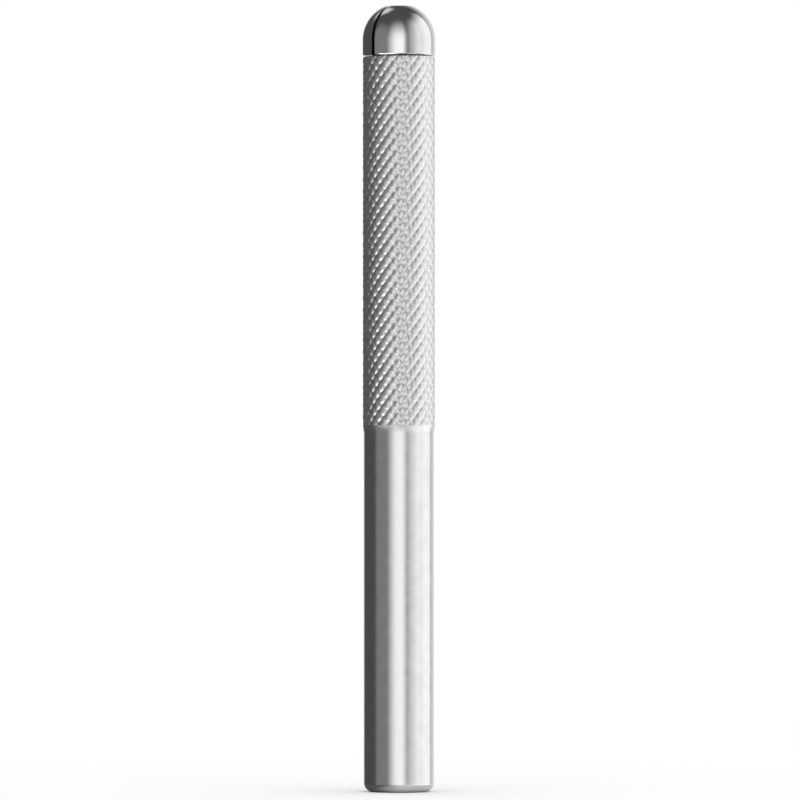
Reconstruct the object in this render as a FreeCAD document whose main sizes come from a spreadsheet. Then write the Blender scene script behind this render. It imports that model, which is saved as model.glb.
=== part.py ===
import FreeCAD, Part
import math
import os
import Sketcher

# Scalpel handle of the chuck kind, for mini blades with a round shank. A turned bar carries a knurled grip,
# and a split collet with a domed head screws into its front end. All lengths are in millimetres.
# The handle stands on its rear face. The origin is the centre of that face, +Z runs up the axis to the
# collet's nose, and -Y is the side that the viewer sees.

SIZES = [
    ("overall_length", 100.0, "rear face to the collet's nose, chuck closed"),
    ("shank_diameter", 8.9, "plain rear half of the bar"),
    ("rear_edge_radius", 1.1, "rounding of the rear edge"),
    ("grip_length", 46.9, "knurled length, back from the bar's front face"),
    ("grip_diameter", 9.2, "over the crests of the knurl"),
    ("grip_ramp", 1.0, "length of the slope from the grip down to the shank"),
    ("front_chamfer", 0.1, "broken edge of the bar's front face"),
    ("knurl_depth", 0.18, "crest to groove"),
    ("knurl_cover", 0.2, "solid metal between the groove floors and the core"),
    ("knurl_lines", 20, "grooves round the grip in each direction"),
    ("knurl_right_pitch", 1.674, "axial pitch of the grooves that climb to the right"),
    ("knurl_left_pitch", 1.38, "axial pitch of the grooves that climb to the left"),
    ("head_diameter", 9.25, "domed head of the collet"),
    ("head_height", 6.35, "underside of the head to the flat nose"),
    ("head_gap", 0.12, "seam between the head and the bar, chuck closed"),
    ("head_edge_radius", 0.2, "rounding of the head's lower edge"),
    ("nose_diameter", 3.45, "flat on the dome"),
    ("cone_diameter", 6.8, "large end of the collet's cone, under the head"),
    ("cone_length", 2.6, "collet's cone, along the axis"),
    ("stem_diameter", 5.4, "split stem of the collet"),
    ("stem_length", 22.0, "underside of the head to the thread"),
    ("thread_diameter", 5.0, "tail thread over its crests, M5"),
    ("thread_length", 8.0, "threaded tail of the collet"),
    ("thread_chamfer", 0.5, "lead-in at the end of the tail"),
    ("guide_clearance", 0.05, "radial gap round the stem and the tail"),
    ("seat_clearance", 0.03, "radial gap between the cone and its seat"),
    ("shoulder_gap", 0.4, "end of the stem to the shoulder in the bore"),
    ("tap_room", 2.0, "threaded hole past the end of the tail"),
    ("tap_tip", 1.5, "drill point at the end of the threaded hole"),
    ("socket_diameter", 3.0, "hole in the collet for the blade's shank"),
    ("socket_depth", 14.0, "straight wall of that hole, from the nose"),
    ("socket_tip", 0.9, "drill point at the end of that hole"),
    ("mouth_chamfer", 0.1, "broken edge of that hole"),
    ("slot_width", 0.5, "saw cut that splits the collet"),
    ("slot_depth", 24.0, "saw cut, down from the nose"),
    ("slot_turn", 45.0, "degrees from the viewer's side round to the left, to the saw cut"),
]

doc = FreeCAD.newDocument("ScalpelHandle")
sheet = doc.addObject("Spreadsheet::Sheet", "Sizes")
for row, (alias, number, meaning) in enumerate(SIZES, start=1):
    sheet.set("A" + str(row), meaning)
    sheet.set("B" + str(row), str(number))
    sheet.setAlias("B" + str(row), alias)
doc.recompute()


class Size:
    """A length that holds its number and the expression on the sheet that it comes from."""

    def __init__(self, number, text):
        self.number = number
        self.text = text

    def __add__(self, other):
        return Size(self.number + other.number, "(" + self.text + " + " + other.text + ")")

    def __sub__(self, other):
        return Size(self.number - other.number, "(" + self.text + " - " + other.text + ")")

    def half(self):
        return Size(self.number / 2, self.text + " / 2")


def size(alias):
    return Size(float(sheet.get(alias)), "Sizes." + alias)


def other_leg(hypotenuse, leg):
    number = math.sqrt(hypotenuse.number ** 2 - leg.number ** 2)
    return Size(number, "sqrt((" + hypotenuse.text + ") ^ 2 - (" + leg.text + ") ^ 2)")


# Radii and heights that more than one piece is built on.

AXIS = Size(0.0, "0")
BASE = Size(0.0, "0")

shank_radius = size("shank_diameter").half()
grip_radius = size("grip_diameter").half()
head_radius = size("head_diameter").half()
nose_radius = size("nose_diameter").half()
cone_radius = size("cone_diameter").half()
stem_radius = size("stem_diameter").half()
thread_radius = size("thread_diameter").half()
socket_radius = size("socket_diameter").half()
core_radius = grip_radius - size("knurl_depth") - size("knurl_cover")

nose = size("overall_length")
dome_centre = nose - other_leg(head_radius, nose_radius)
head_underside = nose - size("head_height")
cone_end = head_underside - size("cone_length")
stem_end = head_underside - size("stem_length")
tail_end = stem_end - size("thread_length")
front_face = head_underside - size("head_gap")
knurl_end = front_face - size("grip_length")


def origin_feature(body, role):
    for feature in body.Origin.OriginFeatures:
        if feature.Role == role:
            return feature
    raise ValueError("no origin feature " + role)


def pin(sketch, line, end, constraint, distance, name):
    """Hold one end of a line at a signed distance from the sketch's axis."""
    axis_line = -2 if constraint == "DistanceX" else -1
    if distance.number == 0:
        sketch.addConstraint(Sketcher.Constraint("PointOnObject", line, end, axis_line))
        return
    index = sketch.addConstraint(Sketcher.Constraint(constraint, -1, 1, line, end, distance.number))
    sketch.renameConstraint(index, name)
    sketch.setExpression("Constraints." + name, distance.text)


def half_section(body, name, corners, dome_after=None):
    """Closed outline of (radius, height) corners on the XZ plane, each held by the sheet.

    The side that starts at corner number dome_after is an arc with its centre on the axis."""
    sketch = body.newObject("Sketcher::SketchObject", name)
    sketch.AttachmentSupport = (origin_feature(body, "XZ_Plane"), [""])
    sketch.MapMode = "FlatFace"
    points = [FreeCAD.Vector(radius.number, height.number, 0) for radius, height in corners]
    count = len(points)
    for index in range(count):
        start = points[index]
        end = points[(index + 1) % count]
        if index == dome_after:
            centre = FreeCAD.Vector(0, dome_centre.number, 0)
            circle = Part.Circle(centre, FreeCAD.Vector(0, 0, 1), head_radius.number)
            rise = math.atan2(end.y - centre.y, end.x)
            sketch.addGeometry(Part.ArcOfCircle(circle, 0, rise), False)
            sketch.addConstraint(Sketcher.Constraint("PointOnObject", index, 3, -2))
        else:
            sketch.addGeometry(Part.LineSegment(start, end), False)
    for index in range(count):
        following = (index + 1) % count
        sketch.addConstraint(Sketcher.Constraint("Coincident", index, 2, following, 1))
    for index, (radius, height) in enumerate(corners):
        pin(sketch, index, 1, "DistanceX", radius, "radius_" + str(index))
        pin(sketch, index, 1, "DistanceY", height, "height_" + str(index))
    return sketch


def turn(body, kind, name, sketch):
    """Full turn of a half section about the body's own Z axis."""
    feature = body.newObject("PartDesign::" + kind, name)
    feature.Profile = sketch
    feature.ReferenceAxis = (origin_feature(body, "Z_Axis"), [""])
    feature.Angle = 360
    sketch.Visibility = False
    return feature


def round_edge(body, name, base, radius, height, rounding):
    """Fillet on the circle of the given radius at the given height."""
    doc.recompute()
    for number, edge in enumerate(base.Shape.Edges, start=1):
        curve = edge.Curve
        if not isinstance(curve, Part.Circle):
            continue
        if abs(curve.Radius - radius.number) < 1e-4 and abs(curve.Center.z - height.number) < 1e-4:
            fillet = body.newObject("PartDesign::Fillet", name)
            fillet.Base = (base, ["Edge" + str(number)])
            fillet.setExpression("Radius", rounding.text)
            return fillet
    raise ValueError("no edge to round for " + name)


# Collet: turned in one piece from the flat nose to the threaded tail, drilled for the blade's shank, and
# sawn across from the nose so that its two jaws spring. The dome is a sphere of the head's own radius.

collet = doc.addObject("PartDesign::Body", "Collet")
collet.Label = "collet"
collet_outline = half_section(collet, "ColletOutline", [
    (AXIS, tail_end),
    (thread_radius - size("thread_chamfer"), tail_end),
    (thread_radius, tail_end + size("thread_chamfer")),
    (thread_radius, stem_end),
    (stem_radius, stem_end),
    (stem_radius, cone_end),
    (cone_radius, head_underside),
    (head_radius, head_underside),
    (head_radius, dome_centre),
    (nose_radius, nose),
    (AXIS, nose),
], dome_after=8)
collet_turned = turn(collet, "Revolution", "ColletTurned", collet_outline)
collet_rounded = round_edge(
    collet, "HeadEdge", collet_turned, head_radius, head_underside, size("head_edge_radius")
)

socket_bottom = nose - size("socket_depth")
socket_outline = half_section(collet, "SocketOutline", [
    (AXIS, socket_bottom - size("socket_tip")),
    (socket_radius, socket_bottom),
    (socket_radius, nose - size("mouth_chamfer")),
    (socket_radius + size("mouth_chamfer"), nose),
    (AXIS, nose),
])
blade_socket = turn(collet, "Groove", "BladeSocket", socket_outline)

slot_outline = collet.newObject("Sketcher::SketchObject", "SlotOutline")
slot_outline.AttachmentSupport = (origin_feature(collet, "XZ_Plane"), [""])
slot_outline.MapMode = "FlatFace"
slot_half = size("slot_width").half()
slot_bottom = nose - size("slot_depth")
slot_corners = [(-1, slot_bottom), (1, slot_bottom), (1, nose), (-1, nose)]
for index in range(4):
    side, height = slot_corners[index]
    next_side, next_height = slot_corners[(index + 1) % 4]
    slot_outline.addGeometry(Part.LineSegment(
        FreeCAD.Vector(side * slot_half.number, height.number, 0),
        FreeCAD.Vector(next_side * slot_half.number, next_height.number, 0),
    ), False)
for index in range(4):
    slot_outline.addConstraint(Sketcher.Constraint("Coincident", index, 2, (index + 1) % 4, 1))
slot_outline.addConstraint(Sketcher.Constraint("Horizontal", 2))
slot_outline.addConstraint(Sketcher.Constraint("Vertical", 1))
slot_outline.addConstraint(Sketcher.Constraint("Symmetric", 0, 1, 0, 2, -2))
slot_wide = slot_outline.addConstraint(
    Sketcher.Constraint("DistanceX", 0, 1, 0, 2, slot_half.number * 2)
)
slot_outline.setExpression("Constraints[" + str(slot_wide) + "]", "Sizes.slot_width")
pin(slot_outline, 0, 1, "DistanceY", slot_bottom, "slot_bottom")
pin(slot_outline, 2, 1, "DistanceY", nose, "slot_top")
saw_cut = collet.newObject("PartDesign::Pocket", "SawCut")
saw_cut.Profile = slot_outline
saw_cut.Type = "ThroughAll"
saw_cut.Midplane = True
slot_outline.Visibility = False
collet.Placement = FreeCAD.Placement(
    FreeCAD.Vector(0, 0, 0),
    FreeCAD.Rotation(FreeCAD.Vector(0, 0, 1), -float(sheet.get("slot_turn"))),
)

# Turned bar: plain shank, slope up to the grip, and the core that the knurl is rolled on. Its front end is
# bored to take the collet: the seat for the cone, the guide bore for the stem, and the threaded hole.

bar = doc.addObject("PartDesign::Body", "TurnedBar")
bar.Label = "turned_bar"
bar_outline = half_section(bar, "BarOutline", [
    (AXIS, BASE),
    (shank_radius, BASE),
    (shank_radius, knurl_end - size("grip_ramp")),
    (grip_radius, knurl_end),
    (core_radius, knurl_end + size("knurl_depth") + size("knurl_cover")),
    (core_radius, front_face),
    (AXIS, front_face),
])
bar_turned = turn(bar, "Revolution", "BarTurned", bar_outline)
bar_rounded = round_edge(bar, "RearEdge", bar_turned, shank_radius, BASE, size("rear_edge_radius"))

tap_end = tail_end - size("tap_room")
bore_outline = half_section(bar, "BoreOutline", [
    (AXIS, tap_end - size("tap_tip")),
    (thread_radius + size("guide_clearance"), tap_end),
    (thread_radius + size("guide_clearance"), stem_end - size("shoulder_gap")),
    (stem_radius + size("guide_clearance"), stem_end - size("shoulder_gap")),
    (stem_radius + size("guide_clearance"), cone_end),
    (cone_radius + size("seat_clearance"), head_underside),
    (AXIS, head_underside),
])
bore = turn(bar, "Groove", "Bore", bore_outline)
doc.recompute()

# Knurl: two families of V grooves cross and leave four-sided pyramids. On the unrolled grip the grooves of
# one family are evenly spaced lines, so each pyramid is one cell of a lattice. Rows of groove crossings lie
# at even heights, and the crest of a cell stands halfway between two crossings of its middle row.


def knurl_points(lines, right_pitch, left_pitch, crest, floor, first_row, last_row):
    """Groove crossings and crests, row by row, as points, with the index of each."""
    row_step = 1 / (1 / right_pitch + 1 / left_pitch)
    points = []
    crossing = {}
    apex = {}
    for row in range(first_row, last_row + 1):
        height = row * row_step
        for line in range(lines):
            for shift, radius, table in ((0.0, floor, crossing), (0.5, crest, apex)):
                angle = (height / right_pitch - line - shift) * 2 * math.pi / lines
                table[row, line] = len(points)
                points.append(FreeCAD.Vector(radius * math.cos(angle), radius * math.sin(angle), height))
    return points, crossing, apex


def knurl_facets(lines, crossing, apex, first_row, last_row, lower_tip, upper_tip):
    """Four facets to each cell, and a fan of facets to the axis at either end."""
    facets = []
    for line in range(lines):
        beside = (line + 1) % lines
        for row in range(first_row, last_row - 1):
            low = crossing[row, line]
            right = crossing[row + 1, line]
            left = crossing[row + 1, beside]
            high = crossing[row + 2, beside]
            crest = apex[row + 1, line]
            facets += [(crest, low, right), (crest, right, high), (crest, high, left), (crest, left, low)]
        low = crossing[first_row, line]
        facets += [
            (lower_tip, crossing[first_row + 1, line], low),
            (lower_tip, low, crossing[first_row + 1, beside]),
        ]
        high = crossing[last_row, beside]
        facets += [
            (upper_tip, crossing[last_row - 1, beside], high),
            (upper_tip, high, crossing[last_row - 1, line]),
        ]
    return facets


def knurled_bar():
    """Solid bar with the pyramids all over it, longer than the grip at both ends."""
    lines = int(float(sheet.get("knurl_lines")))
    right_pitch = size("knurl_right_pitch").number
    left_pitch = size("knurl_left_pitch").number
    row_step = 1 / (1 / right_pitch + 1 / left_pitch)
    first_row = math.floor(knurl_end.number / row_step) - 3
    last_row = math.ceil(front_face.number / row_step) + 3
    crest = grip_radius.number
    floor = crest - size("knurl_depth").number
    points, crossing, apex = knurl_points(
        lines, right_pitch, left_pitch, crest, floor, first_row, last_row
    )
    lower_tip = len(points)
    points.append(FreeCAD.Vector(0, 0, first_row * row_step))
    upper_tip = len(points)
    points.append(FreeCAD.Vector(0, 0, last_row * row_step))
    facets = knurl_facets(lines, crossing, apex, first_row, last_row, lower_tip, upper_tip)
    skin = Part.Shape()
    skin.makeShapeFromMesh((points, facets), 1e-4)
    return Part.makeSolid(Part.Shell(skin.Faces))


def knurl_sleeve():
    """Ring that the knurled bar is trimmed to: open inside for the core, chamfered at the front."""
    inner = core_radius.number - size("knurl_cover").number / 2
    outer = grip_radius.number + size("knurl_cover").number
    chamfer = size("front_chamfer").number
    chamfer_drop = outer - (grip_radius.number - chamfer)
    corners = [
        (inner, knurl_end.number),
        (outer, knurl_end.number),
        (outer, front_face.number - chamfer_drop),
        (grip_radius.number - chamfer, front_face.number),
        (inner, front_face.number),
    ]
    outline = Part.makePolygon([FreeCAD.Vector(r, 0, z) for r, z in corners + corners[:1]])
    return Part.Face(outline).revolve(FreeCAD.Vector(0, 0, 0), FreeCAD.Vector(0, 0, 1), 360)


knurl = doc.addObject("Part::Feature", "Knurl")
knurl.Label = "knurl"
knurl.Shape = knurled_bar().common(knurl_sleeve())

handle_body = doc.addObject("Part::Fuse", "HandleBody")
handle_body.Label = "handle_body"
handle_body.Base = bar
handle_body.Tool = knurl
handle_body.Refine = False
doc.recompute()

# The finished pieces are checked and written, one file each.

for item in doc.Objects:
    if "Invalid" in item.State or "Error" in item.State:
        raise RuntimeError(item.Label + " did not build: " + str(item.State))
if blade_socket.Shape.Volume >= collet_rounded.Shape.Volume:
    raise RuntimeError("the blade socket cut nothing")
if saw_cut.Shape.Volume >= blade_socket.Shape.Volume:
    raise RuntimeError("the saw cut took nothing away")
if bore.Shape.Volume >= bar_rounded.Shape.Volume:
    raise RuntimeError("the bore cut nothing")

os.makedirs("parts", exist_ok=True)
for piece in (handle_body, collet):
    shape = piece.Shape
    if shape.isNull() or not shape.isValid() or len(shape.Solids) != 1:
        raise RuntimeError(piece.Label + " is not one sound solid")
    shape.exportStep("parts/" + piece.Label + ".step")
    print(piece.Label, round(shape.Volume, 3), "mm3", len(shape.Faces), "faces")
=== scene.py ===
import math

import bmesh
import bpy
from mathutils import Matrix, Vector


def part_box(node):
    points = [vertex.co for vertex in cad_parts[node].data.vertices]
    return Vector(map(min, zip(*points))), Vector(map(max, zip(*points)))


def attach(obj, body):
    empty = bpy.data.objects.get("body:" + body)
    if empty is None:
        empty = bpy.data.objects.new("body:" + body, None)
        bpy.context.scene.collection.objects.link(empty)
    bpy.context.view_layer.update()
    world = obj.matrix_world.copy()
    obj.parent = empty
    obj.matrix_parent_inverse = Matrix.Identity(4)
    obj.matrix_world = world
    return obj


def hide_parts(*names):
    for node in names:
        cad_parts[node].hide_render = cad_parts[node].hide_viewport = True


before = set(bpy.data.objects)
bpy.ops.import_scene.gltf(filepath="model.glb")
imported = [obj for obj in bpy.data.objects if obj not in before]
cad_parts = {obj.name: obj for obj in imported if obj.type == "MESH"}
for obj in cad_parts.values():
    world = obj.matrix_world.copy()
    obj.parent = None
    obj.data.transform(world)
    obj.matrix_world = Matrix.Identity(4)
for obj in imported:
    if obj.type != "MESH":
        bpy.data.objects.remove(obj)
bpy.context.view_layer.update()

# Handle body: one bar of stainless steel. It is turned to a plain shank with a rounded rear edge, its front
# half is rolled with a diamond knurl, and it is bored from the front for the collet. Sizes are millimetres.

MM = 0.001
FRONT_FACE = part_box("handle_body")[1].z / MM
GRIP_LENGTH = 46.9
GRIP_RADIUS = 4.6
GRIP_RAMP = 1.0
SHANK_RADIUS = 4.45
REAR_EDGE_RADIUS = 1.1
REAR_EDGE_STEPS = 8
FRONT_CHAMFER = 0.1
KNURL_LINES = 20
KNURL_RIGHT_PITCH = 1.674
KNURL_LEFT_PITCH = 1.38
KNURL_DEPTH = 0.13
KNURL_SWELL = 2.3
LEFT_GROOVE_SHARE = 0.7
KNURL_ROUGHER = 0.15
CUTS_PER_CELL = 8
BORE_OUTLINE = [(3.43, 93.65), (2.75, 91.05), (2.75, 71.25), (2.55, 71.25), (2.55, 61.65)]
DRILL_POINT = 60.15
DRILL_POINT_RADIUS = 0.05
MERGE_DISTANCE = 1e-3
SAME_HEIGHT = 0.01
SMOOTH_UP_TO = 25

knurl_end = FRONT_FACE - GRIP_LENGTH
row_step = 1 / (1 / KNURL_RIGHT_PITCH + 1 / KNURL_LEFT_PITCH)


def knurl_relief(right, left):
    """Height over the groove floor, 0 to 1, at a place counted in grooves of the two families."""
    ribs, beads = (1 - abs(2 * (count - math.floor(count)) - 1) ** KNURL_SWELL for count in (right, left))
    return ribs * (1 - LEFT_GROOVE_SHARE * (1 - beads))


def ring_on(mesh, edges, radius, height):
    """Extrude a closed ring of edges and lay its new points on a circle round the axis."""
    made = bmesh.ops.extrude_edge_only(mesh, edges=edges)["geom"]
    for point in made:
        if isinstance(point, bmesh.types.BMVert):
            reach = math.hypot(point.co.x, point.co.y)
            point.co = (point.co.x * radius / reach, point.co.y * radius / reach, height)
    return [edge for edge in made if isinstance(edge, bmesh.types.BMEdge) and edge.is_boundary]


def trim(mesh, height, side):
    """Cut the mesh across at a height, drop what lies on one side, and give the ring of the cut."""
    cut = bmesh.ops.bisect_plane(
        mesh, geom=mesh.verts[:] + mesh.edges[:] + mesh.faces[:], dist=1e-6,
        plane_co=(0, 0, height), plane_no=(0, 0, side), clear_outer=True,
    )["geom_cut"]
    return [edge for edge in cut if isinstance(edge, bmesh.types.BMEdge)]


bar = bmesh.new()
first_cell = math.floor(knurl_end / row_step) - KNURL_LINES - 2
cells = math.ceil(FRONT_FACE / row_step) + 2 - first_cell
bmesh.ops.create_grid(
    bar, x_segments=KNURL_LINES * CUTS_PER_CELL, y_segments=cells * CUTS_PER_CELL, size=0.5
)
for point in bar.verts:
    right = round((point.co.x + 0.5) * KNURL_LINES * CUTS_PER_CELL) / CUTS_PER_CELL
    left = round((point.co.y + 0.5) * cells * CUTS_PER_CELL) / CUTS_PER_CELL + first_cell
    height = (right + left) * row_step
    angle = (height / KNURL_RIGHT_PITCH - right) * 2 * math.pi / KNURL_LINES
    radius = GRIP_RADIUS - KNURL_DEPTH * (1 - knurl_relief(right, left))
    if height > FRONT_FACE - FRONT_CHAMFER:
        radius = min(radius, GRIP_RADIUS - FRONT_CHAMFER + FRONT_FACE - height)
    point.co = (radius * math.cos(angle), radius * math.sin(angle), height)
bmesh.ops.remove_doubles(bar, verts=bar.verts, dist=MERGE_DISTANCE)
trim(bar, knurl_end, -1)
front_ring = trim(bar, FRONT_FACE, 1)
open_edges = [edge for edge in bar.edges if edge.is_boundary]
rear_ring = [edge for edge in open_edges if edge.verts[0].co.z < knurl_end + SAME_HEIGHT]

rear_ring = ring_on(bar, rear_ring, GRIP_RADIUS, knurl_end)
rear_ring = ring_on(bar, rear_ring, SHANK_RADIUS, knurl_end - GRIP_RAMP)
for step in range(REAR_EDGE_STEPS + 1):
    turned = math.pi / 2 * step / REAR_EDGE_STEPS
    rear_ring = ring_on(
        bar, rear_ring,
        SHANK_RADIUS - REAR_EDGE_RADIUS * (1 - math.cos(turned)),
        REAR_EDGE_RADIUS * (1 - math.sin(turned)),
    )
bmesh.ops.edgeloop_fill(bar, edges=rear_ring)

for radius, height in BORE_OUTLINE:
    front_ring = ring_on(bar, front_ring, radius, min(height, FRONT_FACE))
front_ring = ring_on(bar, front_ring, DRILL_POINT_RADIUS, DRILL_POINT)
bmesh.ops.edgeloop_fill(bar, edges=front_ring)

bmesh.ops.scale(bar, vec=(MM, MM, MM), verts=bar.verts)
bmesh.ops.recalc_face_normals(bar, faces=bar.faces)
bar_mesh = bpy.data.meshes.new("knurled_bar")
bar.to_mesh(bar_mesh)
bar.free()
bar_mesh.shade_smooth()
bar_mesh.set_sharp_from_angle(angle=math.radians(SMOOTH_UP_TO))
knurled_bar = bpy.data.objects.new("knurled_bar", bar_mesh)
bpy.context.scene.collection.objects.link(knurled_bar)

LATHE_LINES = (60, 60, 9000)
LATHE_LINE_DETAIL = 2.0
CLOUDS = 700.0
CLOUD_DETAIL = 4.0
CLOUD_RANGE = (0.3, 0.7)


def steel(name, colour, roughness, line_depth):
    """Bare stainless steel with fine lathe lines round the Z axis and a faint cloudiness."""
    material = bpy.data.materials.new(name)
    material.use_nodes = True
    nodes = material.node_tree.nodes
    links = material.node_tree.links
    shader = nodes["Principled BSDF"]
    shader.inputs["Metallic"].default_value = 1.0
    place = nodes.new("ShaderNodeTexCoord")
    place.name = "place"

    lines_place = nodes.new("ShaderNodeMapping")
    lines_place.inputs["Scale"].default_value = LATHE_LINES
    links.new(place.outputs["Object"], lines_place.inputs["Vector"])
    lines = nodes.new("ShaderNodeTexNoise")
    lines.inputs["Scale"].default_value = 1.0
    lines.inputs["Detail"].default_value = LATHE_LINE_DETAIL
    links.new(lines_place.outputs["Vector"], lines.inputs["Vector"])
    bump = nodes.new("ShaderNodeBump")
    bump.inputs["Strength"].default_value = 1.0
    bump.inputs["Distance"].default_value = line_depth * MM
    links.new(lines.outputs["Fac"], bump.inputs["Height"])
    links.new(bump.outputs["Normal"], shader.inputs["Normal"])

    clouds = nodes.new("ShaderNodeTexNoise")
    clouds.inputs["Scale"].default_value = CLOUDS
    clouds.inputs["Detail"].default_value = CLOUD_DETAIL
    links.new(place.outputs["Object"], clouds.inputs["Vector"])
    tone = nodes.new("ShaderNodeValToRGB")
    for stop, position, grey in zip(tone.color_ramp.elements, CLOUD_RANGE, colour):
        stop.position = position
        stop.color = (grey, grey, grey, 1)
    links.new(clouds.outputs["Fac"], tone.inputs["Fac"])
    links.new(tone.outputs["Color"], shader.inputs["Base Color"])
    gloss = nodes.new("ShaderNodeMapRange")
    gloss.name = "gloss"
    gloss.inputs["From Min"].default_value, gloss.inputs["From Max"].default_value = CLOUD_RANGE
    gloss.inputs["To Min"].default_value, gloss.inputs["To Max"].default_value = roughness
    links.new(clouds.outputs["Fac"], gloss.inputs["Value"])
    links.new(gloss.outputs["Result"], shader.inputs["Roughness"])
    return material


satin_steel = steel("satin_steel", colour=(0.66, 0.72), roughness=(0.15, 0.2), line_depth=0.0004)
nodes = satin_steel.node_tree.nodes
links = satin_steel.node_tree.links
height = nodes.new("ShaderNodeSeparateXYZ")
links.new(nodes["place"].outputs["Object"], height.inputs["Vector"])
rolled = nodes.new("ShaderNodeMapRange")
rolled.inputs["From Min"].default_value = (knurl_end - GRIP_RAMP) * MM
rolled.inputs["From Max"].default_value = knurl_end * MM
rolled.inputs["To Max"].default_value = KNURL_ROUGHER
links.new(height.outputs["Z"], rolled.inputs["Value"])
rougher = nodes.new("ShaderNodeMath")
links.new(nodes["gloss"].outputs["Result"], rougher.inputs[0])
links.new(rolled.outputs["Result"], rougher.inputs[1])
links.new(rougher.outputs["Value"], nodes["Principled BSDF"].inputs["Roughness"])
bar_mesh.materials.append(satin_steel)
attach(knurled_bar, "handle")
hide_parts("handle_body")

# Collet: turned in one piece from the domed head to the threaded tail, sawn across and polished. Its head
# closes on the front of the bar as it is screwed in.

polished_steel = steel("polished_steel", colour=(0.7, 0.75), roughness=(0.1, 0.13), line_depth=0.0001)
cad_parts["collet"].material_slots[0].material = polished_steel

# Floor: a plain pale table top, which fades into the white background. Close to the handle the steel
# mirrors it with a painted shadow: for glossy rays only, its colour is darkened, most on the left. Farther
# out it is clear to the steel, which mirrors the lights below the horizon instead. The lengths are metres
# from the handle's axis.

FLOOR_HALF_WIDTH = 3.0
FADE_TO_WHITE = (0.05, 0.4)
MIRROR_EDGE = (0.0065, 0.009)
# Painted shadow in the mirrored floor: where along X it ramps, and how far it darkens the floor's colour.
PAINTED_SHADOW_SIDES = (-0.0045, 0.0005)
PAINTED_SHADOW_DEPTH = (-0.85, -0.15)

floor = bmesh.new()
bmesh.ops.create_grid(floor, x_segments=1, y_segments=1, size=FLOOR_HALF_WIDTH)
floor_mesh = bpy.data.meshes.new("floor")
floor.to_mesh(floor_mesh)
floor.free()
table_top = bpy.data.objects.new("floor", floor_mesh)
bpy.context.scene.collection.objects.link(table_top)
paper = bpy.data.materials.new("pale_floor")
paper.use_nodes = True
nodes = paper.node_tree.nodes
links = paper.node_tree.links
place = nodes.new("ShaderNodeTexCoord")
distance = nodes.new("ShaderNodeVectorMath")
distance.operation = "LENGTH"
links.new(place.outputs["Object"], distance.inputs[0])
fade = nodes.new("ShaderNodeMapRange")
fade.interpolation_type = "SMOOTHSTEP"
fade.inputs["From Min"].default_value, fade.inputs["From Max"].default_value = FADE_TO_WHITE
links.new(distance.outputs["Value"], fade.inputs["Value"])
shaded = nodes.new("ShaderNodeBsdfDiffuse")
place_parts = nodes.new("ShaderNodeSeparateXYZ")
links.new(place.outputs["Object"], place_parts.inputs["Vector"])
# Painted shadow: the floor's colour, as the steel mirrors it, is darkened, most on the handle's left side.
painted_shadow = nodes.new("ShaderNodeMapRange")
painted_shadow.interpolation_type = "SMOOTHSTEP"
painted_shadow.inputs["From Min"].default_value, painted_shadow.inputs["From Max"].default_value = PAINTED_SHADOW_SIDES
painted_shadow.inputs["To Min"].default_value, painted_shadow.inputs["To Max"].default_value = PAINTED_SHADOW_DEPTH
links.new(place_parts.outputs["X"], painted_shadow.inputs["Value"])
ray = nodes.new("ShaderNodeLightPath")
tone = nodes.new("ShaderNodeMath")
tone.operation = "MULTIPLY_ADD"
links.new(ray.outputs["Is Glossy Ray"], tone.inputs[0])
links.new(painted_shadow.outputs["Result"], tone.inputs[1])
tone.inputs[2].default_value = 1.0
links.new(tone.outputs["Value"], shaded.inputs["Color"])
white = nodes.new("ShaderNodeEmission")
blend = nodes.new("ShaderNodeMixShader")
links.new(fade.outputs["Result"], blend.inputs["Fac"])
links.new(shaded.outputs["BSDF"], blend.inputs[1])
links.new(white.outputs["Emission"], blend.inputs[2])
near = nodes.new("ShaderNodeMapRange")
near.interpolation_type = "SMOOTHSTEP"
near.inputs["From Min"].default_value, near.inputs["From Max"].default_value = MIRROR_EDGE
links.new(distance.outputs["Value"], near.inputs["Value"])
mirrored = nodes.new("ShaderNodeMath")
mirrored.operation = "MULTIPLY"
links.new(near.outputs["Result"], mirrored.inputs[0])
links.new(ray.outputs["Is Glossy Ray"], mirrored.inputs[1])
clear = nodes.new("ShaderNodeBsdfTransparent")
opening = nodes.new("ShaderNodeMixShader")
links.new(mirrored.outputs["Value"], opening.inputs["Fac"])
links.new(blend.outputs["Shader"], opening.inputs[1])
links.new(clear.outputs["BSDF"], opening.inputs[2])
links.new(opening.outputs["Shader"], nodes["Material Output"].inputs["Surface"])
floor_mesh.materials.append(paper)

# Studio: soft lights and cards round the handle, two of them low for the walls of the knurl's grooves.
# Steel shows nothing but its surroundings, so each has its place as seen from the handle: degrees round
# from the camera to the right, and degrees above the table. The camera itself sees plain white.

DARK_ROOM = 0.08
STUDIO_LIGHTS = [
    dict(strength=1.26, sides=(-3, 10), side_fades=(47, 20), rise=(-8, -8), rise_fades=(20, 80)),
    dict(strength=0.36, sides=(44, 62), side_fades=(28, 20), rise=(-12, 8), rise_fades=(20, 62)),
    dict(strength=1.15, sides=(102, 122), side_fades=(76, 12), rise=(-8, 34), rise_fades=(20, 34)),
    dict(strength=0.75, sides=(138, 180), side_fades=(10, 25), rise=(-25, 15), rise_fades=(45, 40)),
    dict(strength=0.17, sides=(-75, -50), side_fades=(14, 14), rise=(-14, 22), rise_fades=(10, 30)),
    dict(strength=4.6, sides=(-70, -26), side_fades=(16, 30), rise=(-46, -32), rise_fades=(8, 8)),
    dict(strength=0.8, sides=(34, 120), side_fades=(25, 40), rise=(-36, -14), rise_fades=(10, 9)),
    dict(strength=0.75, sides=(-152, -134), side_fades=(16, 20), rise=(44, 56), rise_fades=(14, 16)),
]

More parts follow.
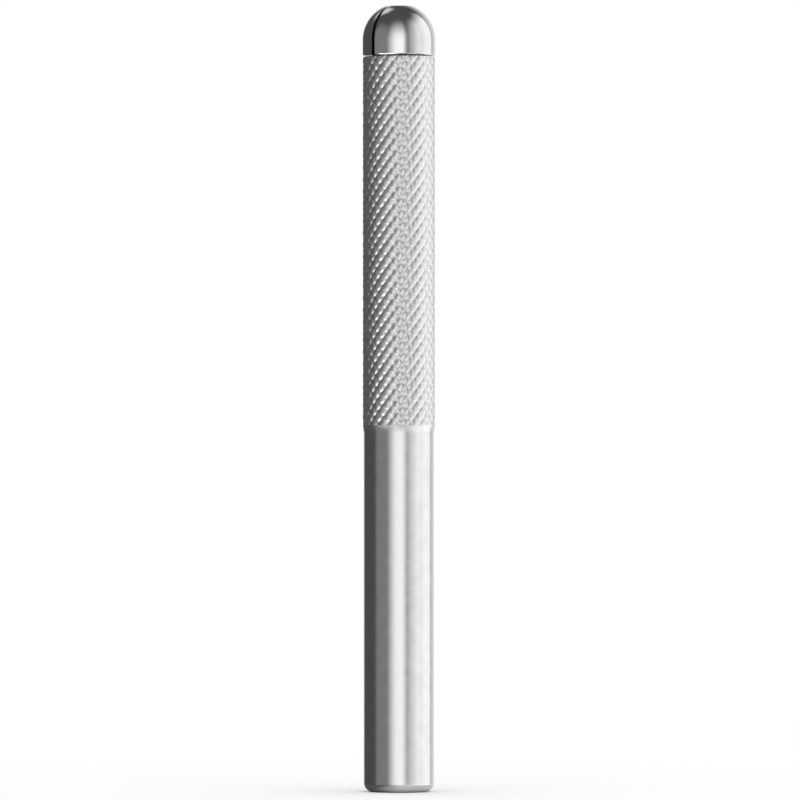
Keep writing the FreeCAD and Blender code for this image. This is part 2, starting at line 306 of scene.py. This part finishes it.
world = bpy.data.worlds.new("studio")
bpy.context.scene.world = world
world.use_nodes = True
nodes = world.node_tree.nodes
links = world.node_tree.links


def world_math(operation, *sources):
    """Math node of the world on sockets or plain numbers."""
    node = nodes.new("ShaderNodeMath")
    node.operation = operation
    for socket, source in zip(node.inputs, sources):
        if isinstance(source, bpy.types.NodeSocket):
            links.new(source, socket)
        else:
            socket.default_value = source
    return node.outputs[0]


def between(angle, low, high, fade_low, fade_high):
    """1 from the low to the high angle, fading to 0 on either side."""
    edges = []
    for start, end in ((low - fade_low, low), (high + fade_high, high)):
        node = nodes.new("ShaderNodeMapRange")
        node.interpolation_type = "SMOOTHSTEP"
        node.inputs["From Min"].default_value = start
        node.inputs["From Max"].default_value = end
        links.new(angle, node.inputs["Value"])
        edges.append(node.outputs["Result"])
    return world_math("MINIMUM", *edges)


way = nodes.new("ShaderNodeTexCoord")
parts = nodes.new("ShaderNodeSeparateXYZ")
links.new(way.outputs["Generated"], parts.inputs["Vector"])
toward_camera = world_math("MULTIPLY", parts.outputs["Y"], -1.0)
turn = world_math("DEGREES", world_math("ARCTAN2", parts.outputs["X"], toward_camera))
rise = world_math("DEGREES", world_math("ARCSINE", parts.outputs["Z"]))
brightness = DARK_ROOM
for light in STUDIO_LIGHTS:
    left, right = light["sides"]
    middle = (left + right) / 2
    aside = world_math("WRAP", world_math("SUBTRACT", turn, middle), 180.0, -180.0)
    across = between(aside, left - middle, right - middle, *light["side_fades"])
    upright = between(rise, *light["rise"], *light["rise_fades"])
    shape = world_math("MULTIPLY", across, upright)
    brightness = world_math("MULTIPLY_ADD", shape, light["strength"], brightness)

rays = nodes.new("ShaderNodeLightPath")
white_side = world_math("SUBTRACT", 1.0, rays.outputs["Is Glossy Ray"])
seen = world_math("MULTIPLY", brightness, rays.outputs["Is Glossy Ray"])
sky = nodes["Background"]
links.new(world_math("ADD", seen, white_side), sky.inputs["Strength"])
sky.inputs["Color"].default_value = (1, 1, 1, 1)

# Camera: level with the middle of the handle and straight in front of it, a metre away. The frame's places
# are counted in its own pixels, each as wide as PIXEL at the handle.

PIXEL = 0.12735 * MM
CAMERA_DISTANCE = 1.0
AXIS_LEFT_OF_MIDDLE = 1.1
BASE_BELOW_MIDDLE = 391.4
FRAME_WIDTH = 800

camera = bpy.data.objects.new("camera", bpy.data.cameras.new("camera"))
camera.location = (AXIS_LEFT_OF_MIDDLE * PIXEL, -CAMERA_DISTANCE, BASE_BELOW_MIDDLE * PIXEL)
camera.rotation_euler = (math.pi / 2, 0, 0)
camera.data.sensor_width = 36
camera.data.lens = camera.data.sensor_width * CAMERA_DISTANCE / (FRAME_WIDTH * PIXEL)
camera.data.clip_start = 0.01
bpy.context.scene.collection.objects.link(camera)
bpy.context.scene.camera = camera
bpy.context.scene.view_settings.view_transform = "Standard"
